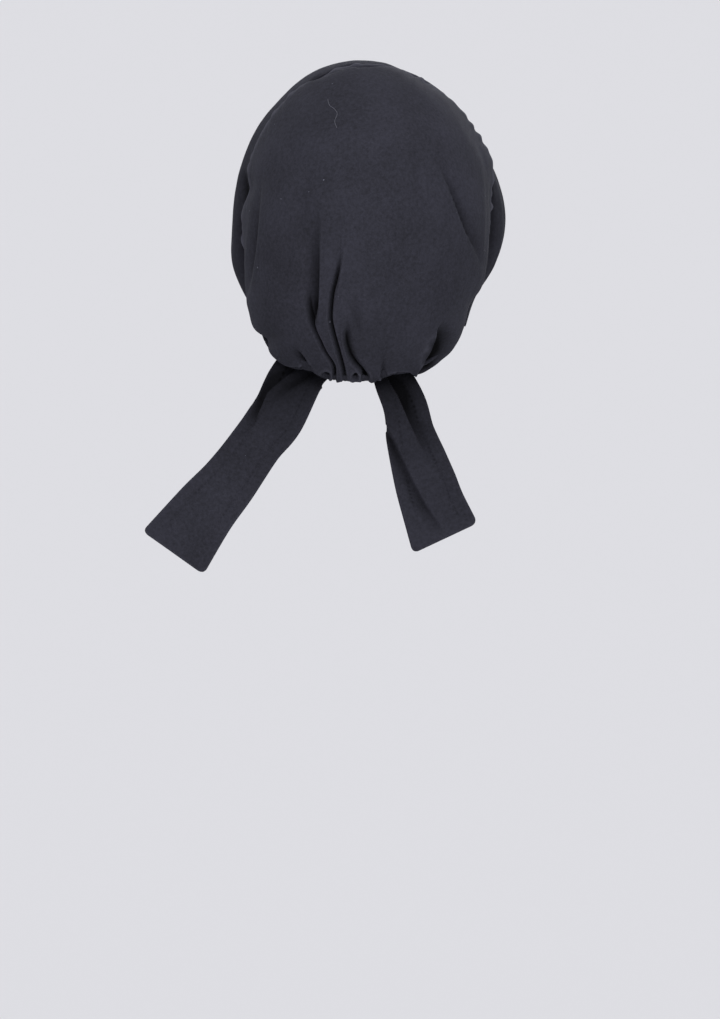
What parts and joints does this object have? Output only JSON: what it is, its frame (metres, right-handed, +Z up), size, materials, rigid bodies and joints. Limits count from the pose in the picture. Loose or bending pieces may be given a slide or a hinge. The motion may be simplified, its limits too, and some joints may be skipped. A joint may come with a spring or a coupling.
{
  "type": "tie-back underscarf cap",
  "caption": "Tie-back underscarf cap in its worn form: a smooth front band, a full gathered bag at the back, an elastic nape hem, and straps knotted at the nape with flat hanging tails.",
  "frame": {"origin": "where the wearer's crown carries the cloth, at the highest point of the front band's inner face", "axes": "+Z up, -Y towards the wearer's face, +Y towards the nape, +X towards the wearer's left"},
  "size_m": [0.2485, 0.2413, 0.3525],
  "materials": {
    "jersey": "matte black cotton jersey, with a faint cool sheen at grazing angles",
    "tape": "matte black jersey folded and stitched over narrow elastic"
  },
  "bodies": {
    "root": {"crown_bag": "jersey", "front_band": "jersey", "nape_casing": "tape", "strap_left": "jersey", "strap_right": "jersey", "tie_knot": "jersey", "tail_left": "jersey", "tail_right": "jersey"}
  },
  "joints": []
}
